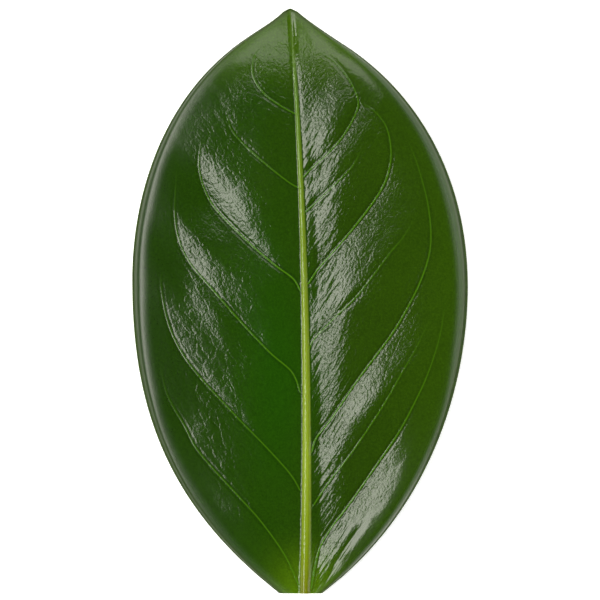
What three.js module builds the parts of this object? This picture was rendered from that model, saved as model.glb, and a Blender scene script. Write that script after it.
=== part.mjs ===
// One leaflet of a ZZ plant, cut from its frond and lying face up on a table.
// Millimetres, +Z up. The origin is on the table, under the middle of the leaflet's outline.
// +Y points to the tip, -Y to the cut base, +X to the right margin as seen from above.

import * as THREE from 'three';
import { mergeVertices } from 'three/addons/utils/BufferGeometryUtils.js';

// The outline
const LENGTH = 80;
const HALF_WIDTH = 23;
const BASE_Y = -LENGTH / 2;
const TIP_Y = LENGTH / 2;

// Each margin runs from the cut base by way of its widest point and its shoulder to the tip. Angles are
// in degrees above level. Reaches are how far the curve holds its direction: out of the base, into and
// out of the widest point, into and out of the shoulder, and into the tip.
const LEFT_MARGIN = {
  side: -1, baseX: -2.9, baseAngle: 38, widestY: 3, shoulder: [-7.2, 36], shoulderAngle: 34,
  tipX: -1.9, tipAngle: 55, reaches: [20, 17, 10, 15, 2, 1.5],
};
const RIGHT_MARGIN = {
  side: 1, baseX: 3.1, baseAngle: 37, widestY: 2, shoulder: [6, 35], shoulderAngle: 33,
  tipX: -0.8, tipAngle: 50, reaches: [18, 14, 15, 12, 2, 1.5],
};

// The midrib, as a start point, two handles and an end point
const MIDRIB = [
  [0.7, BASE_Y],
  [1.2, -18], [0.9, 12], [-1.35, TIP_Y],
];

// The blade is leathery: thick beside the midrib, thinner at its rounded margin
const INNER_THICKNESS = 0.9;
const MARGIN_THICKNESS = 0.72;
const MARGIN_ROUNDING = 0.25;

// Under the midrib runs a keel, deep and wide at the cut base and gone before the tip
const KEEL_DEPTH = 1.6;
const KEEL_BASE_HALF_WIDTH = 2.2;
const KEEL_TIP_HALF_WIDTH = 1.1;
const KEEL_FADE = 1.5;

// On the upper face the midrib is a low rib at the bottom of a shallow groove
const RIB_HEIGHT = 0.16;
const RIB_HALF_WIDTH = 0.55;
const GROOVE_DEPTH = 0.15;
const GROOVE_HALF_WIDTH = 1.2;

// Heights of the upper face above the table, as [y, height]
const MIDRIB_HEIGHTS = [[BASE_Y, 2.1], [-22, 2.2], [0, 2.4], [20, 2.4], [31, 2], [36, 1.2], [TIP_Y, 0.7]];
const LEFT_MARGIN_HEIGHTS = [[BASE_Y, 1.7], [-26, 1.6], [-10, 1.3], [6, 0.7], [16, 0.8], [30, 1.2], [TIP_Y, 0.7]];
const RIGHT_MARGIN_HEIGHTS = [[BASE_Y, 1.7], [-26, 2.1], [-10, 1.4], [6, 0.7], [16, 0.8], [30, 1.3], [TIP_Y, 0.7]];

// Out from the midrib, each half of the blade steps up, rises on over a share of its width, then slopes
// away and rolls down at its margin. A half's creases start, are full and begin to fade at given shares of
// their vein. A start below 0 makes them deep already where they leave the midrib.
const LEFT_HALF = {
  step: 0.8, stepHalfWidth: 4, rise: 0.5, riseWidth: 1, slopePower: 1.2, rollShare: 0.45, rollSharpness: 30,
  creaseStart: 0.05, creaseFull: 0.4, creaseFade: 0.6,
};
const RIGHT_HALF = {
  step: 1, stepHalfWidth: 3.6, rise: 0.8, riseWidth: 0.7, slopePower: 1.8, rollShare: 0.4, rollSharpness: 16,
  creaseStart: -0.2, creaseFull: 0.1, creaseFade: 0.4,
};

// The side veins, from the base upwards and each from the midrib outwards, in creases of their own
const LEFT_VEINS = [
  { depth: 0.25, width: 4, course: [[0, -39.3], [-5.2, -30.3], [-11.9, -22.9], [-15.8, -17], [-19.1, -8.8]] },
  { depth: 0.25, width: 4, course: [[0, -25.9], [-4.8, -19.8], [-13.7, -10.4], [-18, -3], [-19, 3.9]] },
  { depth: 0.45, width: 3.5, course: [[0, -12.5], [-4.1, -7.1], [-12.3, 1.9], [-16.5, 8.2], [-16.8, 17.8]] },
  { depth: 0.75, width: 3, course: [[0, 1.4], [-6.8, 7.7], [-11.2, 12.1], [-13.8, 18.5], [-13.4, 21.9]] },
  { depth: 0.3, width: 4, course: [[0, 15.3], [-4.6, 18.5], [-9.4, 23.4], [-10, 26]] },
  { depth: 0.3, width: 3, course: [[-0.4, 25.3], [-4.9, 28.2], [-6.4, 30.6], [-5.1, 34.6]] },
];
const RIGHT_VEINS = [
  { depth: 1.4, width: 5.5, course: [[1.5, -39.3], [4.1, -31.3], [10.9, -21.8], [17.5, -9.8], [19.8, 0]] },
  { depth: 0.4, width: 3, course: [[1.8, -28], [6.8, -21.1], [13.9, -9.8], [17.8, -2.4]] },
  { depth: 0.9, width: 5, course: [[1.6, -20.7], [4.1, -16.4], [12.3, -4.9], [17.8, 7.5], [16.1, 18.2]] },
  { depth: 0.3, width: 2, course: [[1.2, -6.8], [4.8, -2.3], [9.6, 2.9], [15.6, 11.2]] },
  { depth: 0.8, width: 4, course: [[1.1, 2.2], [5.5, 7.7], [10.9, 14.8], [12.4, 20.3], [8.2, 27.1]] },
  { depth: 0.4, width: 1.5, course: [[0.8, 12.1], [4.9, 15.9], [8.2, 20.3]] },
  { depth: 0.45, width: 1.5, course: [[0.5, 16.8], [4.1, 20.3], [7.8, 26], [6.4, 30.5], [2.5, 33.9]] },
];
const CREASE_ROUNDING = 0.35;
const CREASE_END = 1.02;
const CREASE_BLEND = 8;

// The blade is puffed up, or sunk, between its veins. A swell's angle is that of its length.
const SWELLS = [
  { at: [15, -26], halfLength: 9, halfWidth: 4.5, angle: 60, height: 0.8 },
  { at: [12, -13], halfLength: 8, halfWidth: 4, angle: 58, height: 0.5 },
  { at: [12, 3], halfLength: 9, halfWidth: 5, angle: 60, height: 0.4 },
  { at: [3, 29], halfLength: 5, halfWidth: 3, angle: 80, height: -0.25 },
  { at: [3, 34], halfLength: 4, halfWidth: 2, angle: 90, height: -0.15 },
  { at: [-3, 33], halfLength: 4, halfWidth: 2, angle: 90, height: -0.15 },
  { at: [-12, 12], halfLength: 7, halfWidth: 2.5, angle: 120, height: -0.25 },
  { at: [-15, 2], halfLength: 7, halfWidth: 2, angle: 122, height: -0.2 },
];

// The mesh: its rows run out from the midrib and sweep up towards the tip, as the veins do
const COLUMNS_PER_SIDE = 16;
const ROWS = 70;
const ROW_SWEEP = 0.6;
const ROW_CROWDING = 1.6;
const CURVE_STEPS = 32;
const HEIGHT_STEPS = 96;
const VEIN_STEPS = 24;

const leafMaterial = new THREE.MeshStandardMaterial({ color: 0x264d05, roughness: 0.35, metalness: 0 });

const { clamp, degToRad, lerp, smoothstep } = THREE.MathUtils;

function marginPoints({ side, baseX, baseAngle, widestY, shoulder, shoulderAngle, tipX, tipAngle, reaches }) {
  const onward = ([x, y], angle, reach) => [
    x + side * reach * Math.cos(degToRad(angle)),
    y + reach * Math.sin(degToRad(angle)),
  ];
  const base = [baseX, BASE_Y];
  const widest = [side * HALF_WIDTH, widestY];
  const tip = [tipX, TIP_Y];
  const [outOfBase, intoWidest, outOfWidest, intoShoulder, outOfShoulder, intoTip] = reaches;
  return [
    base,
    onward(base, baseAngle, outOfBase), onward(widest, 90, -intoWidest), widest,
    onward(widest, 90, outOfWidest), onward(shoulder, 180 - shoulderAngle, -intoShoulder), shoulder,
    onward(shoulder, 180 - shoulderAngle, outOfShoulder), onward(tip, 180 - tipAngle, -intoTip), tip,
  ];
}

// Samples a chain of cubic curves, which must run in the direction of +Y
function cubicChain(points) {
  const path = new THREE.Path();
  path.moveTo(...points[0]);
  for (let i = 1; i < points.length; i += 3) {
    path.bezierCurveTo(...points[i], ...points[i + 1], ...points[i + 2]);
  }
  return path.getPoints(CURVE_STEPS);
}

function smoothCurve(points, steps) {
  return new THREE.SplineCurve(points.map(([x, y]) => new THREE.Vector2(x, y))).getPoints(steps);
}

// Reads off a sampled curve: the valueKey coordinate of the curve where its key coordinate is at place
function lookUp(curve, place, key, valueKey) {
  const next = curve.findIndex((point) => point[key] >= place);
  if (next <= 0) return curve[next === 0 ? 0 : curve.length - 1][valueKey];
  const [a, b] = [curve[next - 1], curve[next]];
  return lerp(a[valueKey], b[valueKey], (place - a[key]) / (b[key] - a[key]));
}

const leftMargin = cubicChain(marginPoints(LEFT_MARGIN));
const rightMargin = cubicChain(marginPoints(RIGHT_MARGIN));
const midrib = cubicChain(MIDRIB);
const midribHeights = smoothCurve(MIDRIB_HEIGHTS, HEIGHT_STEPS);
const leftMarginHeights = smoothCurve(LEFT_MARGIN_HEIGHTS, HEIGHT_STEPS);
const rightMarginHeights = smoothCurve(RIGHT_MARGIN_HEIGHTS, HEIGHT_STEPS);
const veins = [[LEFT_HALF, LEFT_VEINS], [RIGHT_HALF, RIGHT_VEINS]].flatMap(([half, list]) => (
  list.map(({ depth, width, course }) => ({ half, depth, width, curve: smoothCurve(course, VEIN_STEPS) }))
));

// How far a vein's crease pulls the blade down at a place
function creasePull({ half, depth, width, curve }, x, y) {
  let nearest = Infinity;
  let reached = 0;
  for (let i = 1; i < curve.length; i++) {
    const along = curve[i].clone().sub(curve[i - 1]);
    const offset = new THREE.Vector2(x, y).sub(curve[i - 1]);
    const share = clamp(offset.dot(along) / along.lengthSq(), 0, 1);
    const distance = offset.addScaledVector(along, -share).length();
    if (distance < nearest) {
      nearest = distance;
      reached = (i - 1 + share) / (curve.length - 1);
    }
  }
  const fullness = smoothstep(reached, half.creaseStart, half.creaseFull)
    * (1 - smoothstep(reached, half.creaseFade, CREASE_END));
  return depth * fullness * Math.exp(-Math.hypot(nearest, CREASE_ROUNDING) / width);
}

// The pulls are blended by a high power sum, so the deepest one rules and no edge shows between them
function crease(x, y) {
  const total = veins.reduce((sum, vein) => sum + creasePull(vein, x, y) ** CREASE_BLEND, 0);
  return total ** (1 / CREASE_BLEND);
}

function bell(distance, halfWidth) {
  return Math.exp(-((distance / halfWidth) ** 2));
}

function swell({ at, halfLength, halfWidth, angle, height }, x, y) {
  const [cos, sin] = [Math.cos(degToRad(angle)), Math.sin(degToRad(angle))];
  const along = (x - at[0]) * cos + (y - at[1]) * sin;
  const across = (y - at[1]) * cos - (x - at[0]) * sin;
  return height * bell(along, halfLength) * bell(across, halfWidth);
}

// The swells flatten out over the last tenth of the length, so the tip keeps its height
function swells(x, y, station) {
  return SWELLS.reduce((sum, each) => sum + swell(each, x, y), 0) * smoothstep(1 - station, 0, 0.1);
}

// The upper face's height at (x, y), where share is 0 on the midrib and 1 on the margin
function upperHeight(x, y, share) {
  const station = (y - BASE_Y) / LENGTH;
  const fullness = Math.sqrt(Math.max(Math.sin(Math.PI * station), 0));
  const spine = lookUp(midribHeights, y, 'x', 'y');
  const fromMidrib = x - lookUp(midrib, y, 'y', 'x');
  const [half, marginHeights] = fromMidrib < 0
    ? [LEFT_HALF, leftMarginHeights]
    : [RIGHT_HALF, rightMarginHeights];

  const rise = (1 - Math.exp(-share / half.riseWidth)) / (1 - Math.exp(-1 / half.riseWidth));
  const fall = spine + fullness * (half.step + half.rise) - lookUp(marginHeights, y, 'x', 'y');
  const slope = (1 - half.rollShare) * share ** half.slopePower;
  const roll = share ** half.rollSharpness;
  const blade = spine + fullness * (half.step + half.rise * rise) - fall * (slope + half.rollShare * roll)
    + (swells(x, y, station) - fullness * crease(x, y)) * (1 - roll);

  const rib = RIB_HEIGHT * bell(fromMidrib, RIB_HALF_WIDTH) - GROOVE_DEPTH * bell(fromMidrib, GROOVE_HALF_WIDTH);
  return lerp(blade, spine, bell(fromMidrib, half.stepHalfWidth)) + fullness * rib;
}

function thickness(x, y, share) {
  const station = (y - BASE_Y) / LENGTH;
  const keel = KEEL_DEPTH * (1 - station) ** KEEL_FADE;
  const keelHalfWidth = lerp(KEEL_BASE_HALF_WIDTH, KEEL_TIP_HALF_WIDTH, station);
  const fromMidrib = x - lookUp(midrib, y, 'y', 'x');
  return lerp(INNER_THICKNESS, MARGIN_THICKNESS, share) + keel * bell(fromMidrib, keelHalfWidth);
}

// A flat slab, 1 long and 2 wide, whose layers are the underside (-1), the middle of its sides (0) and the
// upper face (1). The underside's squares are split along the same diagonals as the upper face's.
function slab() {
  const box = new THREE.BoxGeometry(2, 1, 2, 2 * COLUMNS_PER_SIDE, ROWS, 2);
  box.deleteAttribute('normal');
  box.deleteAttribute('uv');
  const underside = box.groups[box.groups.length - 1];
  for (let i = underside.start; i < underside.start + underside.count; i += 6) {
    const [a, b, d, , c] = box.index.array.slice(i, i + 6);
    box.index.array.set([a, b, c, a, c, d], i);
  }
  box.clearGroups();
  return mergeVertices(box);
}

// Bends the slab into the leaflet
function leafletGeometry() {
  const geometry = slab();
  const position = geometry.attributes.position;
  for (let i = 0; i < position.count; i++) {
    const share = Math.abs(position.getX(i));
    const row = Math.round((position.getY(i) + 0.5) * ROWS) / ROWS;
    const layer = Math.round(position.getZ(i));

    // The faces stop short of the outline, and the middle of the sides reaches it
    const inset = layer === 0 ? 0 : MARGIN_ROUNDING;
    const sweep = row ** (ROW_CROWDING * (1 - ROW_SWEEP * share));
    const atTip = row === 1 && layer === 0 && share < 1;
    const y = atTip ? TIP_Y : BASE_Y + (LENGTH - MARGIN_ROUNDING) * sweep;
    const center = lookUp(midrib, y, 'y', 'x');
    const margin = position.getX(i) < 0
      ? lookUp(leftMargin, y, 'y', 'x') + inset
      : lookUp(rightMargin, y, 'y', 'x') - inset;
    const x = lerp(center, margin, share);

    const top = upperHeight(x, y, share);
    const bottom = Math.max(top - thickness(x, y, share), 0);
    position.setXYZ(i, x, y, lerp(bottom, top, (layer + 1) / 2));
  }
  geometry.computeVertexNormals();
  return geometry;
}

const leaflet = new THREE.Mesh(leafletGeometry(), leafMaterial);
leaflet.name = 'leaflet';

const part = new THREE.Group();
part.add(leaflet);

export default part;
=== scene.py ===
"""A leaflet of a ZZ plant, cut from its frond and lying face up on a white table.

Lengths are in millimetres for the leaflet and the camera, and in metres for the table and the lights. X runs
across the leaflet to its right margin, Y along it to the tip, and Z up from the table.
"""

import math

import bmesh
import bpy
import numpy as np
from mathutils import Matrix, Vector, noise


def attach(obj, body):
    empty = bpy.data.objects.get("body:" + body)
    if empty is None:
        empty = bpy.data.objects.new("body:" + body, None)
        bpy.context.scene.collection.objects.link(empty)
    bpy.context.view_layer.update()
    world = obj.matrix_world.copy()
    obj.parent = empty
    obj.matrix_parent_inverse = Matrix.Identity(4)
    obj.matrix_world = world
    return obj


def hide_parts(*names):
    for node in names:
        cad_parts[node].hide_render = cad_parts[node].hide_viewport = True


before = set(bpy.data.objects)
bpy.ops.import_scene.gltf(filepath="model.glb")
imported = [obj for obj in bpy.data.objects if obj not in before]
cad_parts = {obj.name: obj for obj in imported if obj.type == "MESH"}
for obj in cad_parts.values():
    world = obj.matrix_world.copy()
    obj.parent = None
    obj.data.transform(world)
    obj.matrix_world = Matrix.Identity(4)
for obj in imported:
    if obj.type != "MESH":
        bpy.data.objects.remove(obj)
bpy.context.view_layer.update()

MM = 0.001

# The outline
LENGTH = 80
HALF_WIDTH = 23
BASE_Y = -LENGTH / 2
TIP_Y = LENGTH / 2

# Each margin runs from the cut base by way of its widest point and its shoulder to the tip. Angles are
# in degrees above level. Reaches are how far the curve holds its direction: out of the base, into and
# out of the widest point, into and out of the shoulder, and into the tip.
LEFT_MARGIN = {
    "side": -1, "base_x": -2.9, "base_angle": 38, "widest_y": 3, "shoulder": (-7.2, 36),
    "shoulder_angle": 34, "tip_x": -1.9, "tip_angle": 55, "reaches": (20, 17, 10, 15, 2, 1.5),
}
RIGHT_MARGIN = {
    "side": 1, "base_x": 3.1, "base_angle": 37, "widest_y": 2, "shoulder": (6, 35),
    "shoulder_angle": 33, "tip_x": -0.8, "tip_angle": 50, "reaches": (18, 14, 15, 12, 2, 1.5),
}

# The midrib, as a start point, two handles and an end point
MIDRIB = [(0.7, BASE_Y), (1.2, -18), (0.9, 12), (-1.35, TIP_Y)]

# Heights of the upper face above the table, as (y, height)
MIDRIB_HEIGHTS = [(BASE_Y, 2.1), (-22, 2.2), (0, 2.4), (20, 2.4), (31, 2), (36, 1.2), (TIP_Y, 0.7)]
LEFT_MARGIN_HEIGHTS = [(BASE_Y, 1.7), (-26, 1.6), (-10, 1.3), (6, 0.7), (16, 0.8), (30, 1.2), (TIP_Y, 0.7)]
RIGHT_MARGIN_HEIGHTS = [(BASE_Y, 1.7), (-26, 2.1), (-10, 1.4), (6, 0.7), (16, 0.8), (30, 1.3), (TIP_Y, 0.7)]

# Out from the midrib, each half of the blade steps up, rises on over a share of its width, then slopes
# away and rolls down at its margin. A share of each crease's depth runs on in to the midrib.
LEFT_HALF = {"step": 0.8, "step_half_width": 4, "rise": 0.5, "rise_width": 1, "slope_power": 1.2,
             "roll_share": 0.42, "roll_sharpness": 80, "inner_crease_share": 0}
RIGHT_HALF = {"step": 1, "step_half_width": 3.6, "rise": 0.8, "rise_width": 0.7, "slope_power": 1.8,
              "roll_share": 0.4, "roll_sharpness": 26, "inner_crease_share": 0.6}

# The blade is thick beside the midrib and thinner at its rounded margin, with a keel under the midrib. The
# corners of its tip are drawn back.
INNER_THICKNESS = 0.9
MARGIN_THICKNESS = 0.72
MARGIN_ROUNDING = 0.25
TIP_ROUNDING = 0.45
KEEL_DEPTH = 1.6
KEEL_BASE_HALF_WIDTH = 2.2
KEEL_TIP_HALF_WIDTH = 1.1
KEEL_FADE = 1.5

# The midrib's rib at the base, and what its height and half-width lose by the tip. It lies in a groove that
# spreads so many times as wide, and a narrower groove is left near the tip.
RIB_HEIGHT = 0.32
RIB_HEIGHT_LOSS = 0.2
RIB_HALF_WIDTH = 0.62
RIB_HALF_WIDTH_LOSS = 0.45
GROOVE_DEPTH = 0.12
GROOVE_SPREAD = 2.2
TIP_GROOVE_DEPTH = 0.04
TIP_GROOVE_HALF_WIDTH = 0.3

# The side veins, from the base upwards and each from the midrib outwards. Each is given with the depth
# and the width of the crease that it lies in.
LEFT_VEINS = [
    (0.25, 4, [(0, -39.3), (-2, -34.9), (-5.2, -30.3), (-8.2, -26.9), (-11.9, -22.9), (-14.2, -20.1),
               (-15.8, -17), (-17.2, -14.7), (-18.3, -12.3), (-19.1, -8.8)]),
    (0.25, 4, [(0, -25.9), (-1.4, -23.6), (-4.8, -19.8), (-8.7, -15.8), (-13.7, -10.4), (-16.3, -6.8),
               (-18, -3), (-18.9, 1.4), (-19, 3.9)]),
    (0.45, 3.5, [(0, -12.5), (-1.1, -9.8), (-4.1, -7.1), (-8.2, -2.8), (-12.3, 1.9), (-15, 5.1),
                 (-16.5, 8.2), (-17.1, 12.3), (-16.8, 17.8)]),
    (0.75, 3, [(0, 1.4), (-1, 3), (-3.4, 4.8), (-6.8, 7.7), (-11.2, 12.1), (-13, 15.1), (-13.8, 18.5),
               (-13.4, 21.9)]),
    (0.3, 4, [(0, 15.3), (-1.4, 16), (-4.6, 18.5), (-7.5, 21.1), (-9.4, 23.4), (-10, 26)]),
    (0.3, 3, [(-0.4, 25.3), (-2.6, 26.5), (-4.9, 28.2), (-6.4, 30.6), (-6.3, 33.1), (-5.1, 34.6)]),
]
RIGHT_VEINS = [
    (1.4, 5.5, [(1.5, -39.3), (2.5, -34.4), (4.1, -31.3), (6.8, -27.7), (10.9, -21.8), (13.4, -18.1),
                (15.6, -14), (17.5, -9.8), (19.1, -4.7), (19.8, 0)]),
    (0.4, 3, [(1.8, -28), (4.1, -24.6), (6.8, -21.1), (9.6, -17), (12, -13.2), (13.9, -9.8),
              (15.8, -6.5), (17.8, -2.4)]),
    (0.9, 5, [(1.6, -20.7), (2.2, -18.8), (4.1, -16.4), (8.2, -10.4), (12.3, -4.9), (14.6, -1.1),
              (16.7, 3.3), (17.8, 7.5), (17.5, 12.7), (16.1, 18.2), (14.8, 21.6)]),
    (0.3, 2, [(1.2, -6.8), (2, -5.2), (4.8, -2.3), (7.5, 0.3), (9.6, 2.9), (12.3, 6.5), (14.2, 8.8),
              (15.6, 11.2)]),
    (0.8, 4, [(1.1, 2.2), (2.5, 4.3), (5.5, 7.7), (8.5, 11.4), (10.9, 14.8), (12, 17.3), (12.4, 20.3),
              (11.8, 23.5), (10.2, 25.7), (8.2, 27.1)]),
    (0.4, 1.5, [(0.8, 12.1), (2.7, 13.8), (4.9, 15.9), (7.1, 18.2), (8.2, 20.3)]),
    (0.45, 1.5, [(0.5, 16.8), (1.4, 17.8), (4.1, 20.3), (6.1, 22.7), (7.8, 26), (7.7, 28), (6.4, 30.5),
                 (4.4, 32.8), (2.5, 33.9)]),
]

# The shares of a vein where its crease starts, is full and begins to fade. A start below 0 makes it deep
# already where it leaves the midrib.
LEFT_CREASE_SHARES = (0.05, 0.4, 0.6)
RIGHT_CREASE_SHARES = (-0.2, 0.1, 0.4)
CREASE_ROUNDING = 0.35
CREASE_END = 1.02
CREASE_BLEND = 8
CREASE_FLOOR = 1e-12

# Where the blade is puffed up, or sunk, between its veins: the middle, the half-length, the half-width,
# the angle of the length in degrees and the height
SWELLS = [
    ((16.5, -27.5), 9.5, 6, 60, 1.15),
    ((12, -13), 8, 4, 58, 0.5),
    ((12, 3), 9, 5, 60, 0.4),
    ((3, 29), 5, 3, 80, -0.4),
    ((3, 34), 4, 2, 90, -0.15),
    ((-3, 33), 4, 2, 90, -0.15),
    ((-12, 12), 7, 2.5, 120, -0.25),
    ((-15, 2), 7, 2, 122, -0.2),
    ((9, -33.5), 6, 3, 52, 0.35),
    ((-11.5, -2), 6, 2.2, 128, 0.33),
    ((-8, -14), 7, 2.5, 128, 0.12),
    ((-7, -29.5), 8, 2.5, 128, 0.28),
]

# Short folds of the upper face that no vein runs in: the height, the half-width and the course
FOLDS = [
    (-0.09, 0.4, [(3.4, -38.5), (5.1, -35.6), (6.8, -32.8), (9.3, -29.8)]),
    (0.06, 0.4, [(5.1, -23.5), (6.4, -22), (7.8, -20.7)]),
]

# The fine relief of the upper face follows the veins, at this angle above level. The gap keeps the patterns
# of the two halves apart.
GRAIN_ANGLE = 58
GRAIN_GAP = 50
PUCKER_HEIGHT = 0.02

# Face materials, by index
UPPER, UNDER, RIM, CUT = range(4)

# The grid that is bent to the leaflet, with the columns at each margin that belong to the dull hem. Columns
# lie closer at the midrib and at the margins, and rows sweep up and outwards as the side veins do.
COLUMNS = 180
ROWS = 258
LAYERS = 6
HEM_COLUMNS = 2
MIDRIB_CROWDING = 1.4
MARGIN_CROWDING = 1.3
ROW_SWEEP = 1.6
ROW_SWEEP_LOSS = 0.6

# Further off than any point of the leaflet
FAR_OFF = 1e9

# The table from its middle to its edge, which turns up all round, as radii and heights in metres
TABLE_PROFILE = [(0, 0), (1.8, 0), (2.1, 0.03), (2.35, 0.12), (2.5, 0.3), (2.56, 0.6), (2.6, 1.5)]

# A light panel is three sheets, each with its size and its share of the light, so its middle is brightest
PANEL_SHEETS = ((1.4, 0.25), (0.95, 0.3), (0.5, 0.45))
WARM_WHITE = "#FFFEF2"
ROOM_BRIGHTNESS = 0.02

# The camera looks straight down. Its picture spans this width at this height above the table.
PICTURE_SPAN = 81.98
PICTURE_HEIGHT = 1.5
PICTURE_MIDDLE_Y = 0.034


# Curves


def margin_points(side, base_x, base_angle, widest_y, shoulder, shoulder_angle, tip_x, tip_angle, reaches):
    def onward(point, angle, reach):
        a = math.radians(angle)
        return (point[0] + side * reach * math.cos(a), point[1] + reach * math.sin(a))

    base = (base_x, BASE_Y)
    widest = (side * HALF_WIDTH, widest_y)
    tip = (tip_x, TIP_Y)
    out_of_base, into_widest, out_of_widest, into_shoulder, out_of_shoulder, into_tip = reaches
    return [
        base,
        onward(base, base_angle, out_of_base), onward(widest, 90, -into_widest), widest,
        onward(widest, 90, out_of_widest), onward(shoulder, 180 - shoulder_angle, -into_shoulder), shoulder,
        onward(shoulder, 180 - shoulder_angle, out_of_shoulder),
        onward(tip, 180 - tip_angle, -into_tip), tip,
    ]


def cubic_chain(points, steps=32):
    """Points along a chain of cubic curves."""
    points = np.array(points, float)
    t = np.linspace(0, 1, steps + 1)[1:, None]
    line = [points[:1]]
    for i in range(0, len(points) - 1, 3):
        a, b, c, d = points[i:i + 4]
        line.append((1 - t) ** 3 * a + 3 * (1 - t) ** 2 * t * b + 3 * (1 - t) * t ** 2 * c + t ** 3 * d)
    return np.vstack(line)


def smooth_curve(points, steps=16):
    """Points along a smooth curve through all of the given ones."""
    points = np.array(points, float)
    padded = np.vstack([points[:1], points, points[-1:]])
    t = np.linspace(0, 1, steps + 1)[1:, None]
    line = [points[:1]]
    for a, b, c, d in zip(padded[:-3], padded[1:-2], padded[2:-1], padded[3:]):
        line.append(b + t * (c - a) / 2 + t ** 2 * (2 * a - 5 * b + 4 * c - d) / 2
                    + t ** 3 * (3 * b - a - 3 * c + d) / 2)
    return np.vstack(line)


def look_up(line, y):
    """A curve's x at each y, for a curve that runs in the direction of +Y."""
    return np.interp(y, line[:, 1], line[:, 0])


def height_at(line, y):
    return np.interp(y, line[:, 0], line[:, 1])


def nearest_on(line, x, y):
    """Distance to a line, the side of it (+1 left of its direction) and the share of it reached."""
    distance = np.full(x.shape, FAR_OFF)
    side = np.ones(x.shape)
    reached = np.zeros(x.shape)
    for i, (start, end) in enumerate(zip(line[:-1], line[1:])):
        along = end - start
        share = np.clip(((x - start[0]) * along[0] + (y - start[1]) * along[1]) / (along @ along), 0, 1)
        dx = x - start[0] - share * along[0]
        dy = y - start[1] - share * along[1]
        away = np.hypot(dx, dy)
        nearer = away < distance
        distance = np.where(nearer, away, distance)
        side = np.where(nearer, np.where(along[0] * dy - along[1] * dx > 0, 1.0, -1.0), side)
        reached = np.where(nearer, (i + share) / (len(line) - 1), reached)
    return distance, side, reached


def bell(distance, half_width):
    return np.exp(-(distance / half_width) ** 2)


def ramp(value, start, end):
    """0 before start, 1 after end, and a smooth step between them."""
    t = np.clip((value - start) / (end - start), 0, 1)
    return t * t * (3 - 2 * t)


left_margin = cubic_chain(margin_points(**LEFT_MARGIN))
right_margin = cubic_chain(margin_points(**RIGHT_MARGIN))
midrib = cubic_chain(MIDRIB)
midrib_heights = smooth_curve(MIDRIB_HEIGHTS)
left_margin_heights = smooth_curve(LEFT_MARGIN_HEIGHTS)
right_margin_heights = smooth_curve(RIGHT_MARGIN_HEIGHTS)
side_veins = [(LEFT_CREASE_SHARES, *vein) for vein in LEFT_VEINS]
side_veins += [(RIGHT_CREASE_SHARES, *vein) for vein in RIGHT_VEINS]


# The leaflet's shape


def slab(columns, rows, layers):
    """A box from -1 to 1 each way, cut into columns, rows and layers, with a material for each face."""
    hem_start = 1 - 2 * HEM_COLUMNS / columns
    bm = bmesh.new()
    bmesh.ops.create_cube(bm, size=2)
    for axis, count in enumerate((columns, rows, layers)):
        # The box is 2 across, so these are the edges that still run its whole way
        whole = [e for e in bm.edges if abs(e.verts[0].co[axis] - e.verts[1].co[axis]) > 1.9]
        bmesh.ops.subdivide_edges(bm, edges=whole, cuts=count - 1, use_grid_fill=True)
    bm.normal_update()
    for face in bm.faces:
        face.smooth = True
        if face.normal.z > 0.5:
            in_hem = abs(face.calc_center_median().x) > hem_start
            face.material_index = RIM if in_hem else UPPER
        elif face.normal.z < -0.5:
            face.material_index = UNDER
        elif face.normal.y < -0.5:
            face.material_index = CUT
        else:
            face.material_index = RIM

    # Only the edge round the cut is sharp
    for edge in bm.edges:
        edge.smooth = len({face.material_index == CUT for face in edge.link_faces}) == 1
    return bm


def rib_half_width(station):
    return RIB_HALF_WIDTH - RIB_HALF_WIDTH_LOSS * station


def creases(veins):
    """How far the veins' creases pull the blade down. The strongest rules, with no edge to the next.

    The floor keeps a crease from starting with a kink.
    """
    total = CREASE_FLOOR
    for (start, full, fade), depth, width, (distance, _, reached) in veins:
        fullness = ramp(reached, start, full) * (1 - ramp(reached, fade, CREASE_END))
        pull = depth * fullness * np.exp(-np.hypot(distance, CREASE_ROUNDING) / width)
        total = total + pull ** CREASE_BLEND
    return total ** (1 / CREASE_BLEND)


def swells(x, y, station):
    """How far the blade is puffed up between its veins, fading over the last tenth of its length."""
    total = 0
    for (middle_x, middle_y), half_length, half_width, angle, height in SWELLS:
        a = math.radians(angle)
        along = (x - middle_x) * math.cos(a) + (y - middle_y) * math.sin(a)
        across = (y - middle_y) * math.cos(a) - (x - middle_x) * math.sin(a)
        total = total + height * bell(along, half_length) * bell(across, half_width)
    return total * ramp(1 - station, 0, 0.1)


def blade_height(x, y, share, veins):
    """Height of the upper face at (x, y), where share is 0 on the midrib and 1 on the margin."""
    station = (y - BASE_Y) / LENGTH
    fullness = np.sqrt(np.maximum(np.sin(np.pi * station), 0))
    spine = height_at(midrib_heights, y)
    off_midrib = x - look_up(midrib, y)
    left = off_midrib < 0
    edge = np.where(left, height_at(left_margin_heights, y), height_at(right_margin_heights, y))
    half = {name: np.where(left, LEFT_HALF[name], RIGHT_HALF[name]) for name in LEFT_HALF}

    rise = (1 - np.exp(-share / half["rise_width"])) / (1 - np.exp(-1 / half["rise_width"]))
    fall = spine + fullness * (half["step"] + half["rise"]) - edge
    slope = (1 - half["roll_share"]) * share ** half["slope_power"]
    roll = share ** half["roll_sharpness"]
    blade = (spine + fullness * (half["step"] + half["rise"] * rise)
             - fall * (slope + half["roll_share"] * roll)
             + (swells(x, y, station) - fullness * creases(veins)) * (1 - roll))
    beside_midrib = bell(off_midrib, half["step_half_width"])
    inner_creases = half["inner_crease_share"] * fullness * creases(veins) * ramp(np.abs(off_midrib), 0.5, 2)
    return blade * (1 - beside_midrib) + (spine - inner_creases) * beside_midrib


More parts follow.
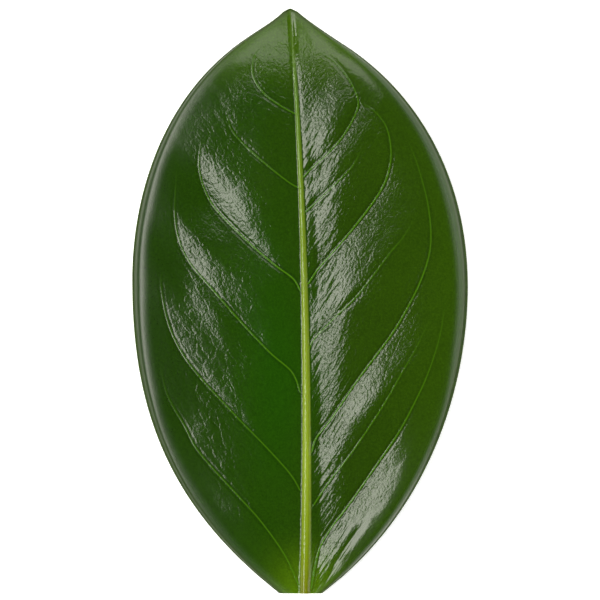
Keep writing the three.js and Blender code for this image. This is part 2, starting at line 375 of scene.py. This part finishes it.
def midrib_relief(off_midrib, station):
    """The rounded rib in its groove. Near the tip the rib sinks in and only the groove is left."""
    width = rib_half_width(station)
    rib_height = RIB_HEIGHT - RIB_HEIGHT_LOSS * station
    rib = rib_height * np.exp(-np.abs(off_midrib / width) ** 3) * ramp(station, 0.95, 0.85)
    groove = GROOVE_DEPTH * bell(off_midrib, GROOVE_SPREAD * width) * ramp(station, 0, 0.1)
    tip_groove = (TIP_GROOVE_DEPTH * bell(off_midrib, TIP_GROOVE_HALF_WIDTH)
                  * ramp(station, 0.86, 0.92) * ramp(station, 0.99, 0.96))
    return rib - groove - tip_groove


def folds(x, y):
    total = 0
    for height, half_width, course in FOLDS:
        distance, _, reached = nearest_on(smooth_curve(course), x, y)
        total = total + height * bell(distance, half_width) * ramp(reached, 0, 0.2) * ramp(reached, 1, 0.8)
    return total


def puckers(grain):
    """Soft puckers of the upper face, about 1.2 mm across and 3 mm long, and finer ones on them."""
    return np.array([noise.noise((a / 1.2, b / 3, c)) + 0.6 * noise.noise((a / 0.6, b / 1.3, c + 9))
                     for a, b, c in grain])


def thickness(off_midrib, station, share):
    keel = KEEL_DEPTH * np.maximum(1 - station, 0) ** KEEL_FADE
    keel_half_width = KEEL_BASE_HALF_WIDTH + (KEEL_TIP_HALF_WIDTH - KEEL_BASE_HALF_WIDTH) * station
    blade = INNER_THICKNESS + (MARGIN_THICKNESS - INNER_THICKNESS) * share
    return blade + keel * bell(off_midrib, keel_half_width)


def bend_to_leaflet(mesh):
    """Moves the slab's points to the leaflet's shape, and keeps what the materials need as attributes."""
    flat = np.zeros(len(mesh.vertices) * 3)
    mesh.vertices.foreach_get("co", flat)
    flat = flat.reshape(-1, 3)
    share = 1 - (1 - np.abs(flat[:, 0]) ** MIDRIB_CROWDING) ** MARGIN_CROWDING
    row = (flat[:, 1] + 1) / 2
    around = flat[:, 2] * math.pi / 2

    # The faces stop short of the outline, and the rounded rim reaches out to it
    inset = MARGIN_ROUNDING * (1 - np.cos(around))
    sweep = row ** (ROW_SWEEP * (1 - ROW_SWEEP_LOSS * share))
    last_row = row > 0.9999
    y = np.where(last_row, TIP_Y - inset, BASE_Y + (LENGTH - MARGIN_ROUNDING) * sweep)
    y = y - TIP_ROUNDING * share ** 2 * ramp(row, 0.9, 1)
    center = look_up(midrib, y)
    margin = np.where(flat[:, 0] < 0, look_up(left_margin, y) + inset, look_up(right_margin, y) - inset)
    x = center + (margin - center) * share
    off_midrib = x - center
    station = (y - BASE_Y) / LENGTH

    angle = math.radians(GRAIN_ANGLE)
    across = np.abs(off_midrib) * math.sin(angle) - y * math.cos(angle)
    along = np.abs(off_midrib) * math.cos(angle) + y * math.sin(angle)
    grain = np.column_stack([across, along, GRAIN_GAP * np.sign(off_midrib)])

    veins = [(shares, depth, width, nearest_on(smooth_curve(course), x, y))
             for shares, depth, width, course in side_veins]
    blade = blade_height(x, y, share, veins)
    skin = PUCKER_HEIGHT * puckers(grain) * ramp(np.abs(off_midrib), 0.8, 2.5)
    top = blade + midrib_relief(off_midrib, station) + (skin + folds(x, y)) * ramp(share, 1, 0.55)
    bottom = np.maximum(blade - thickness(off_midrib, station, share), 0)
    z = bottom + (top - bottom) * (1 + np.sin(around)) / 2
    mesh.vertices.foreach_set("co", (np.column_stack([x, y, z]) * MM).ravel())
    mesh.update()

    # Veins in deeper creases show more, and each fades towards its end
    vein_away = np.full(x.shape, FAR_OFF)
    vein_side = np.zeros(x.shape)
    vein_strength = np.zeros(x.shape)
    for _, depth, _, (distance, side, reached) in veins:
        nearer = distance < vein_away
        vein_away = np.where(nearer, distance, vein_away)
        vein_side = np.where(nearer, side * distance, vein_side)
        vein_strength = np.where(nearer, min(1, 0.4 + 0.8 * depth) * (1 - reached ** 2.5), vein_strength)

    # Younger, yellower tissue lies round the base and at the tip, and a lusher green along the lower
    # midrib's left side
    fresh = 0.85 * ramp(station, 0.12, 0.0) * bell(off_midrib, 4.5) + 0.4 * ramp(station, 0.84, 0.96)
    lush = bell(off_midrib + 4, 5) * bell(station - 0.37, 0.2)

    keep(mesh, "rib_place", off_midrib / rib_half_width(station))
    keep(mesh, "off_midrib", off_midrib)
    keep(mesh, "vein_away", vein_away)
    keep(mesh, "vein_side", vein_side)
    keep(mesh, "vein_strength", vein_strength)
    keep(mesh, "margin_away", np.abs(margin - center) * (1 - share))
    keep(mesh, "station", station)
    keep(mesh, "fresh", fresh)
    keep(mesh, "lush", lush)
    keep(mesh, "flesh_depth", np.minimum(top - z, z - bottom))
    keep(mesh, "grain", grain)


def keep(mesh, name, values):
    """Keeps a number or a vector for each point of a mesh, for its materials to read."""
    kind = "FLOAT" if values.ndim == 1 else "FLOAT_VECTOR"
    attribute = mesh.attributes.new(name, kind, "POINT")
    attribute.data.foreach_set("value" if values.ndim == 1 else "vector", values.astype(np.float32).ravel())


# Materials


def linear(hex_colour):
    """An sRGB hex colour as linear RGBA."""
    channels = [int(hex_colour[i:i + 2], 16) / 255 for i in (1, 3, 5)]
    return [c / 12.92 if c <= 0.04045 else ((c + 0.055) / 1.055) ** 2.4 for c in channels] + [1.0]


def material(name):
    made = bpy.data.materials.new(name)
    made.use_nodes = True
    made.node_tree.nodes.clear()
    return made


def add(tree, kind, inputs=None, stops=None, **settings):
    """Adds a node. Each input is given a value, or another node's output to link from."""
    node = tree.nodes.new(kind)
    for name, value in settings.items():
        setattr(node, name, value)
    for socket, value in (inputs or {}).items():
        if isinstance(value, bpy.types.NodeSocket):
            tree.links.new(value, node.inputs[socket])
        else:
            node.inputs[socket].default_value = value
    if stops:
        elements = node.color_ramp.elements
        while len(elements) < len(stops):
            elements.new(0.5)
        for element, (place, colour) in zip(elements, stops):
            element.position = place
            element.color = linear(colour)
    return node


def in_mm(tree):
    """The place on the object, in millimetres."""
    object_place = add(tree, "ShaderNodeTexCoord").outputs["Object"]
    return add(tree, "ShaderNodeVectorMath", {0: object_place, "Scale": 1 / MM},
               operation="SCALE").outputs[0]


def from_vein(tree):
    """Millimetres from the nearest side vein.

    The signed distance draws a crisp line where it crosses 0 on a vein. It also crosses 0 half way between
    two veins, and there the plain distance, less 0.25 mm, rules it out.
    """
    away = add(tree, "ShaderNodeAttribute", attribute_name="vein_away").outputs["Fac"]
    side = add(tree, "ShaderNodeAttribute", attribute_name="vein_side").outputs["Fac"]
    off_line = add(tree, "ShaderNodeMath", {0: side}, operation="ABSOLUTE").outputs[0]
    beyond = add(tree, "ShaderNodeMath", {0: away, 1: 0.25}, operation="SUBTRACT").outputs[0]
    return add(tree, "ShaderNodeMath", {0: off_line, 1: beyond}, operation="MAXIMUM").outputs[0]


def waxy_upper_face():
    """Leaf cuticle: clear hard wax over dark green tissue, so a deep colour under a crisp, rippled gloss."""
    made = material("waxy_cuticle_over_dark_green_blade")
    tree = made.node_tree
    names = ("rib_place", "off_midrib", "margin_away", "vein_strength", "station", "fresh", "lush")
    read = {name: add(tree, "ShaderNodeAttribute", attribute_name=name).outputs["Fac"] for name in names}
    grain = add(tree, "ShaderNodeAttribute", attribute_name="grain").outputs["Vector"]
    place_mm = in_mm(tree)

    # Blade: painted shade darkens the left half a little against the right, and real tone varies in soft
    # patches about 6 mm across
    painted_side_shade = add(tree, "ShaderNodeMapRange",
                       {"Value": read["off_midrib"], "From Min": -22, "From Max": 22}).outputs[0]
    patches = add(tree, "ShaderNodeTexNoise",
                  {"Vector": place_mm, "Scale": 1 / 6, "Detail": 2}).outputs["Fac"]
    tone = add(tree, "ShaderNodeMix", {"Factor": 0.25, "A": painted_side_shade, "B": patches},
               data_type="FLOAT").outputs[0]
    blade = add(tree, "ShaderNodeValToRGB", {"Fac": tone},
                stops=[(0.15, "#183103"), (0.4, "#1D3903"), (0.6, "#213904"),
                       (0.85, "#274104")]).outputs["Color"]
    lusher = add(tree, "ShaderNodeMix", {"Factor": read["lush"], "A": blade, "B": linear("#193E02")},
                 data_type="RGBA").outputs["Result"]
    younger = add(tree, "ShaderNodeMix", {"Factor": read["fresh"], "A": lusher, "B": linear("#486904")},
                  data_type="RGBA").outputs["Result"]

    # Cells under the wax: mottling about 0.3 mm across, with paler grains
    cells = add(tree, "ShaderNodeTexNoise",
                {"Vector": place_mm, "Scale": 1 / 0.3, "Detail": 3, "Roughness": 0.7}).outputs["Fac"]
    cell_tone = add(tree, "ShaderNodeMapRange",
                    {"Value": cells, "From Min": 0.3, "From Max": 0.75, "To Min": 0.8,
                     "To Max": 1.35}).outputs[0]
    mottled = add(tree, "ShaderNodeVectorMath", {0: younger, "Scale": cell_tone},
                  operation="SCALE").outputs[0]

    # Side veins: fine pale lines in a groove darkened by painted shade, which fade towards the margin
    vein_distance = from_vein(tree)
    on_vein = add(tree, "ShaderNodeMapRange", {"Value": vein_distance, "From Min": 0.15, "From Max": 0.03},
                  interpolation_type="SMOOTHSTEP").outputs[0]
    vein_share = add(tree, "ShaderNodeMath", {0: on_vein, 1: read["vein_strength"]},
                     operation="MULTIPLY").outputs[0]
    in_groove = add(tree, "ShaderNodeMapRange", {"Value": vein_distance, "From Min": 0.6, "From Max": 0.25},
                    interpolation_type="SMOOTHSTEP").outputs[0]
    groove_share = add(tree, "ShaderNodeMath", {0: in_groove, 1: read["vein_strength"]},
                       operation="MULTIPLY").outputs[0]
    # Painted shade: the blade is made up to a quarter darker in the groove beside each vein
    painted_groove_shade = add(tree, "ShaderNodeMapRange",
                      {"Value": groove_share, "To Min": 1, "To Max": 0.75}).outputs[0]
    with_groove_shade = add(tree, "ShaderNodeVectorMath", {0: mottled, "Scale": painted_groove_shade},
                  operation="SCALE").outputs[0]
    veined = add(tree, "ShaderNodeMix", {"Factor": vein_share, "A": with_groove_shade, "B": linear("#42700A")},
                 data_type="RGBA").outputs["Result"]

    # Midrib: yellow-green, palest about a fifth of the way up, darker towards the tip, and with painted
    # shade on its right flank
    rib_colour = add(tree, "ShaderNodeValToRGB", {"Fac": read["station"]},
                     stops=[(0.0, "#666E07"), (0.07, "#6E830F"), (0.22, "#7E9420"), (0.5, "#72881E"),
                            (0.83, "#4E7014"), (1.0, "#3A560C")]).outputs["Color"]
    rib_off = add(tree, "ShaderNodeMath", {0: read["rib_place"]}, operation="ABSOLUTE").outputs[0]
    rib_share = add(tree, "ShaderNodeMapRange", {"Value": rib_off, "From Min": 1.35, "From Max": 0.85},
                    interpolation_type="SMOOTHSTEP").outputs[0]
    # Painted shade: the rib's right flank, turned from the light, is darkened to 0.72
    painted_flank_shade = add(tree, "ShaderNodeMapRange",
                {"Value": read["rib_place"], "From Min": 0.1, "From Max": 0.7, "To Min": 1, "To Max": 0.72},
                interpolation_type="SMOOTHSTEP").outputs[0]
    rib_with_painted_shade = add(tree, "ShaderNodeVectorMath", {0: rib_colour, "Scale": painted_flank_shade},
                  operation="SCALE").outputs[0]
    ribbed = add(tree, "ShaderNodeMix", {"Factor": rib_share, "A": veined, "B": rib_with_painted_shade},
                 data_type="RGBA").outputs["Result"]

    # Margin: a dark olive hem
    hem = add(tree, "ShaderNodeMapRange",
              {"Value": read["margin_away"], "From Min": 0.7, "From Max": 0.3, "To Min": 0, "To Max": 0.7},
              interpolation_type="SMOOTHSTEP").outputs[0]
    colour = add(tree, "ShaderNodeMix", {"Factor": hem, "A": ribbed, "B": linear("#2A3A06")},
                 data_type="RGBA").outputs["Result"]

    # Wax: a sunken net of the finest veins about 1.2 by 2.2 mm and leathery ripples about 0.3 mm across,
    # which both die down towards the margin, pleats about 0.5 mm apart just right of the midrib, and each
    # side vein as a fine raised thread in a narrow gully. It is duller where the margin is scuffed.
    wavy = add(tree, "ShaderNodeTexNoise", {"Vector": grain, "Scale": 1 / 0.9, "Detail": 2})
    net_place = add(tree, "ShaderNodeVectorMath", {0: wavy.outputs["Color"], 1: (0.9, 0.9, 0), 2: grain},
                    operation="MULTIPLY_ADD").outputs[0]
    net_stretch = add(tree, "ShaderNodeVectorMath", {0: net_place, 1: (1 / 1.2, 1 / 2.2, 1)},
                      operation="MULTIPLY").outputs[0]
    cell_edge = add(tree, "ShaderNodeTexVoronoi", {"Vector": net_stretch, "Scale": 1},
                    feature="DISTANCE_TO_EDGE").outputs["Distance"]
    net = add(tree, "ShaderNodeMapRange",
              {"Value": cell_edge, "From Min": 0, "From Max": 0.16, "To Min": 0, "To Max": 1},
              interpolation_type="SMOOTHSTEP").outputs[0]
    inward = add(tree, "ShaderNodeMapRange",
                 {"Value": read["margin_away"], "From Min": 2, "From Max": 8, "To Min": 0.15, "To Max": 1},
                 interpolation_type="SMOOTHSTEP").outputs[0]
    net_height = add(tree, "ShaderNodeMath", {0: net, 1: inward}, operation="MULTIPLY").outputs[0]
    netted = add(tree, "ShaderNodeBump",
                 {"Height": net_height, "Strength": 1, "Distance": 0.009 * MM}).outputs[0]
    ripple_place = add(tree, "ShaderNodeVectorMath", {0: grain, 1: (1 / 0.3, 1 / 0.42, 1)},
                       operation="MULTIPLY").outputs[0]
    ripples = add(tree, "ShaderNodeTexNoise",
                  {"Vector": ripple_place, "Scale": 1, "Detail": 2, "Roughness": 0.55,
                   "Distortion": 0.2}).outputs["Fac"]
    coarser = add(tree, "ShaderNodeTexNoise",
                  {"Vector": place_mm, "Scale": 1 / 5, "Detail": 1}).outputs["Fac"]
    uneven = add(tree, "ShaderNodeMapRange",
                 {"Value": coarser, "From Min": 0.35, "From Max": 0.65, "To Min": 0.5,
                  "To Max": 1.1}).outputs[0]
    sided = add(tree, "ShaderNodeMapRange",
                {"Value": read["off_midrib"], "From Min": -3, "From Max": 3, "To Min": 0.75,
                 "To Max": 1.3}).outputs[0]
    inner = add(tree, "ShaderNodeMath", {0: inward, 1: sided}, operation="MULTIPLY").outputs[0]
    ripple_strength = add(tree, "ShaderNodeMath", {0: uneven, 1: inner}, operation="MULTIPLY").outputs[0]
    ripple_height = add(tree, "ShaderNodeMath", {0: ripples, 1: ripple_strength},
                        operation="MULTIPLY").outputs[0]
    rippled = add(tree, "ShaderNodeBump",
                  {"Height": ripple_height, "Strength": 1, "Distance": 0.042 * MM,
                   "Normal": netted}).outputs[0]
    pleat_place = add(tree, "ShaderNodeVectorMath", {0: grain, 1: (1 / 0.5, 1 / 3, 1)},
                      operation="MULTIPLY").outputs[0]
    pleats = add(tree, "ShaderNodeTexNoise", {"Vector": pleat_place, "Scale": 1, "Detail": 1}).outputs["Fac"]
    from_pleats = add(tree, "ShaderNodeMath", {0: read["off_midrib"], 1: 3}, operation="SUBTRACT").outputs[0]
    off_pleats = add(tree, "ShaderNodeMath", {0: from_pleats}, operation="ABSOLUTE").outputs[0]
    beside_rib = add(tree, "ShaderNodeMapRange", {"Value": off_pleats, "From Min": 4, "From Max": 1.5},
                     interpolation_type="SMOOTHSTEP").outputs[0]
    below_tip = add(tree, "ShaderNodeMapRange",
                    {"Value": read["station"], "From Min": 0.9, "From Max": 0.75},
                    interpolation_type="SMOOTHSTEP").outputs[0]
    pleat_share = add(tree, "ShaderNodeMath", {0: pleats, 1: beside_rib}, operation="MULTIPLY").outputs[0]
    pleat_height = add(tree, "ShaderNodeMath", {0: pleat_share, 1: below_tip},
                       operation="MULTIPLY").outputs[0]
    pleated = add(tree, "ShaderNodeBump",
                  {"Height": pleat_height, "Strength": 1, "Distance": 0.08 * MM,
                   "Normal": rippled}).outputs[0]
    gully = add(tree, "ShaderNodeBump",
                {"Height": groove_share, "Strength": 1, "Distance": 0.038 * MM, "Normal": pleated},
                invert=True).outputs[0]
    thread = add(tree, "ShaderNodeBump",
                 {"Height": vein_share, "Strength": 1, "Distance": 0.03 * MM, "Normal": gully}).outputs[0]
    scuffs = add(tree, "ShaderNodeMapRange",
                 {"Value": read["margin_away"], "From Min": 0.6, "From Max": 2.5, "To Min": 0.3,
                  "To Max": 0.13}, interpolation_type="SMOOTHSTEP").outputs[0]
    shader = add(tree, "ShaderNodeBsdfPrincipled",
                 {"Base Color": colour, "Roughness": scuffs, "IOR": 1.45, "Normal": thread})
    add(tree, "ShaderNodeOutputMaterial", {"Surface": shader.outputs[0]})
    return made


def matte_underside():
    """Leaf underside: thin wax over pores, so paler and matte, with raised veins and a yellow-green keel."""
    made = material("matte_leaf_underside")
    tree = made.node_tree
    names = ("off_midrib", "vein_strength", "station")
    read = {name: add(tree, "ShaderNodeAttribute", attribute_name=name).outputs["Fac"] for name in names}
    place_mm = in_mm(tree)

    # Blade: soft patches about 8 mm across, under pores drawn 0.35 mm apart, coarser than life, to show
    patches = add(tree, "ShaderNodeTexNoise", {"Vector": place_mm, "Scale": 1 / 8, "Detail": 3})
    blade = add(tree, "ShaderNodeValToRGB", {"Fac": patches.outputs["Fac"]},
                stops=[(0.35, "#4A6A26"), (0.65, "#5C7B33")]).outputs["Color"]
    pores = add(tree, "ShaderNodeTexVoronoi", {"Vector": place_mm, "Scale": 1 / 0.35}).outputs["Distance"]
    pore_tone = add(tree, "ShaderNodeMapRange",
                    {"Value": pores, "From Min": 0, "From Max": 0.6, "To Min": 1.12,
                     "To Max": 0.94}).outputs[0]
    pored = add(tree, "ShaderNodeVectorMath", {0: blade, "Scale": pore_tone}, operation="SCALE").outputs[0]

    # Side veins: darker lines on low ridges
    on_vein = add(tree, "ShaderNodeMapRange", {"Value": from_vein(tree), "From Min": 0.4, "From Max": 0.1},
                  interpolation_type="SMOOTHSTEP").outputs[0]
    vein_share = add(tree, "ShaderNodeMath", {0: on_vein, 1: read["vein_strength"]},
                     operation="MULTIPLY").outputs[0]
    veined = add(tree, "ShaderNodeMix", {"Factor": vein_share, "A": pored, "B": linear("#3C5A1C")},
                 data_type="RGBA").outputs["Result"]

    # Keel: yellow-green at the base, narrowing and turning to the blade's own green near the tip
    keel_colour = add(tree, "ShaderNodeValToRGB", {"Fac": read["station"]},
                      stops=[(0.0, "#98A556"), (0.4, "#83964A"), (0.9, "#5C7B33")]).outputs["Color"]
    keel_off = add(tree, "ShaderNodeMath", {0: read["off_midrib"]}, operation="ABSOLUTE").outputs[0]
    keel_edge = add(tree, "ShaderNodeMapRange",
                    {"Value": read["station"], "To Min": KEEL_BASE_HALF_WIDTH, "To Max": 0.4}).outputs[0]
    keel_place = add(tree, "ShaderNodeMath", {0: keel_off, 1: keel_edge}, operation="DIVIDE").outputs[0]
    keel_share = add(tree, "ShaderNodeMapRange", {"Value": keel_place, "From Min": 1.3, "From Max": 0.6},
                     interpolation_type="SMOOTHSTEP").outputs[0]
    colour = add(tree, "ShaderNodeMix", {"Factor": keel_share, "A": veined, "B": keel_colour},
                 data_type="RGBA").outputs["Result"]

    # Relief: a fine grain from the pores, and the side veins' ridges
    grainy = add(tree, "ShaderNodeBump",
                 {"Height": pores, "Strength": 1, "Distance": 0.008 * MM}).outputs[0]
    ridged = add(tree, "ShaderNodeBump",
                 {"Height": vein_share, "Strength": 1, "Distance": 0.06 * MM, "Normal": grainy}).outputs[0]
    shader = add(tree, "ShaderNodeBsdfPrincipled",
                 {"Base Color": colour, "Roughness": 0.48, "IOR": 1.42, "Normal": ridged})
    add(tree, "ShaderNodeOutputMaterial", {"Surface": shader.outputs[0]})
    return made


def leaf_rim():
    """Leaf margin: a dull, scuffed hem, dark where it meets the faces and a paler olive at its edge."""
    made = material("dull_scuffed_leaf_margin")
    tree = made.node_tree
    depth = add(tree, "ShaderNodeAttribute", attribute_name="flesh_depth").outputs["Fac"]
    place_mm = in_mm(tree)
    edge = add(tree, "ShaderNodeValToRGB", {"Fac": depth},
               stops=[(0.0, "#263A08"), (0.2, "#344A0C"), (0.36, "#4C5C12")]).outputs["Color"]
    nicks = add(tree, "ShaderNodeTexNoise", {"Vector": place_mm, "Scale": 1 / 0.7, "Detail": 3})
    nick_tone = add(tree, "ShaderNodeMapRange",
                    {"Value": nicks.outputs["Fac"], "From Min": 0.3, "From Max": 0.7, "To Min": 0.75,
                     "To Max": 1.15}).outputs[0]
    colour = add(tree, "ShaderNodeVectorMath", {0: edge, "Scale": nick_tone}, operation="SCALE").outputs[0]
    bump = add(tree, "ShaderNodeBump",
               {"Height": nicks.outputs["Fac"], "Strength": 1, "Distance": 0.03 * MM}).outputs[0]
    shader = add(tree, "ShaderNodeBsdfPrincipled",
                 {"Base Color": colour, "Roughness": 0.5, "IOR": 1.45, "Specular IOR Level": 0.15,
                  "Normal": bump})
    add(tree, "ShaderNodeOutputMaterial", {"Surface": shader.outputs[0]})
    return made


def fresh_cut():
    """Cut flesh: wet pale cells inside a green skin, with strands of vessels as small paler dots."""
    made = material("fresh_cut_leaf_flesh")
    tree = made.node_tree
    depth = add(tree, "ShaderNodeAttribute", attribute_name="flesh_depth").outputs["Fac"]
    place_mm = in_mm(tree)
    skin = add(tree, "ShaderNodeValToRGB", {"Fac": depth},
               stops=[(0.04, "#3A5410"), (0.16, "#86993F"), (0.4, "#A9B56C")]).outputs["Color"]
    cells = add(tree, "ShaderNodeTexNoise", {"Vector": place_mm, "Scale": 1 / 0.12, "Detail": 2})
    cell_tone = add(tree, "ShaderNodeMapRange",
                    {"Value": cells.outputs["Fac"], "From Min": 0.3, "From Max": 0.7, "To Min": 0.85,
                     "To Max": 1.12}).outputs[0]
    flesh = add(tree, "ShaderNodeVectorMath", {0: skin, "Scale": cell_tone}, operation="SCALE").outputs[0]
    strands = add(tree, "ShaderNodeTexVoronoi",
                  {"Vector": place_mm, "Scale": 1 / 0.75, "Randomness": 0.7}).outputs["Distance"]
    on_strand = add(tree, "ShaderNodeMapRange", {"Value": strands, "From Min": 0.26, "From Max": 0.16},
                    interpolation_type="SMOOTHSTEP").outputs[0]
    under_skin = add(tree, "ShaderNodeMapRange", {"Value": depth, "From Min": 0.15, "From Max": 0.3},
                     interpolation_type="SMOOTHSTEP").outputs[0]
    strand_share = add(tree, "ShaderNodeMath", {0: on_strand, 1: under_skin},
                       operation="MULTIPLY").outputs[0]
    colour = add(tree, "ShaderNodeMix", {"Factor": strand_share, "A": flesh, "B": linear("#D5D8AE")},
                 data_type="RGBA").outputs["Result"]
    bump = add(tree, "ShaderNodeBump",
               {"Height": cells.outputs["Fac"], "Strength": 1, "Distance": 0.015 * MM}).outputs[0]
    shader = add(tree, "ShaderNodeBsdfPrincipled",
                 {"Base Color": colour, "Roughness": 0.38, "IOR": 1.38, "Normal": bump})
    add(tree, "ShaderNodeOutputMaterial", {"Surface": shader.outputs[0]})
    return made


def lit_table():
    """Opal acrylic, lit from behind: plain white with a satin skin, and only a light shadow on it."""
    made = material("opal_acrylic_light_table")
    tree = made.node_tree
    place_mm = in_mm(tree)
    satin = add(tree, "ShaderNodeTexNoise", {"Vector": place_mm, "Scale": 1 / 0.8, "Detail": 2})
    roughness = add(tree, "ShaderNodeMapRange",
                    {"Value": satin.outputs["Fac"], "To Min": 0.55, "To Max": 0.7}).outputs[0]
    bump = add(tree, "ShaderNodeBump",
               {"Height": satin.outputs["Fac"], "Strength": 1, "Distance": 0.01 * MM}).outputs[0]
    shader = add(tree, "ShaderNodeBsdfPrincipled",
                 {"Base Color": linear("#F2F2F2"), "Roughness": roughness, "IOR": 1.49, "Normal": bump,
                  "Emission Color": linear("#FFFFFF"), "Emission Strength": 0.55})
    add(tree, "ShaderNodeOutputMaterial", {"Surface": shader.outputs[0]})
    return made


# The leaflet

bm = slab(COLUMNS, ROWS, LAYERS)
mesh = bpy.data.meshes.new("leaflet_blade")
bm.to_mesh(mesh)
bm.free()
bend_to_leaflet(mesh)
for made in (waxy_upper_face(), matte_underside(), leaf_rim(), fresh_cut()):
    mesh.materials.append(made)
leaflet = bpy.data.objects.new("leaflet_blade", mesh)
bpy.context.scene.collection.objects.link(leaflet)
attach(leaflet, "root")
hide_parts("leaflet")


# Table, lights and camera

bm = bmesh.new()
points = [bm.verts.new((radius, 0, height)) for radius, height in TABLE_PROFILE]
edges = [bm.edges.new(pair) for pair in zip(points[:-1], points[1:])]
bmesh.ops.spin(bm, geom=points + edges, cent=(0, 0, 0), axis=(0, 0, 1), angle=math.tau, steps=64,
               use_merge=True)
bmesh.ops.remove_doubles(bm, verts=bm.verts, dist=1e-5)
bmesh.ops.recalc_face_normals(bm, faces=bm.faces)
floor_mesh = bpy.data.meshes.new("table")
bm.to_mesh(floor_mesh)
bm.free()
floor_mesh.materials.append(lit_table())
floor = bpy.data.objects.new("table", floor_mesh)
bpy.context.scene.collection.objects.link(floor)


def panel(name, azimuth, zenith, distance, width, height, radiance, colour="#FFFFFF"):
    """A soft light panel that faces the leaflet, brightest in its middle. Azimuth is from +X towards +Y."""
    a, z = math.radians(azimuth), math.radians(zenith)
    away = Vector((math.sin(z) * math.cos(a), math.sin(z) * math.sin(a), math.cos(z)))
    for size, share in PANEL_SHEETS:
        data = bpy.data.lights.new(name, "AREA")
        data.shape = "RECTANGLE"
        data.size = width * size
        data.size_y = height * size
        data.color = linear(colour)[:3]
        data.energy = share * radiance * math.pi * data.size * data.size_y
        lamp = bpy.data.objects.new(name, data)
        lamp.location = away * distance
        lamp.rotation_mode = "QUATERNION"
        lamp.rotation_quaternion = away.to_track_quat("Z", "Y")
        bpy.context.scene.collection.objects.link(lamp)


panel("key_panel", azimuth=171, zenith=25, distance=1.0, width=0.44, height=0.22, radiance=34,
      colour=WARM_WHITE)
panel("tip_panel", azimuth=84, zenith=28, distance=1.0, width=0.3, height=0.15, radiance=11.5,
      colour=WARM_WHITE)
panel("right_fill", azimuth=20, zenith=62, distance=1.3, width=1.7, height=0.6, radiance=3.6)
panel("front_fill", azimuth=270, zenith=66, distance=1.3, width=1.3, height=0.6, radiance=3)

world = bpy.data.worlds.new("dim_room")
world.use_nodes = True
background = world.node_tree.nodes["Background"]
background.inputs["Color"].default_value = linear("#FFFFFF")
background.inputs["Strength"].default_value = ROOM_BRIGHTNESS
bpy.context.scene.world = world

camera_data = bpy.data.cameras.new("camera")
camera_data.sensor_width = 36
camera_data.lens = 180
camera = bpy.data.objects.new("camera", camera_data)
camera_height = PICTURE_SPAN * MM * camera_data.lens / camera_data.sensor_width + PICTURE_HEIGHT * MM
camera.location = (0, PICTURE_MIDDLE_Y * MM, camera_height)
bpy.context.scene.collection.objects.link(camera)
bpy.context.scene.camera = camera
bpy.context.scene.view_settings.view_transform = "Standard"
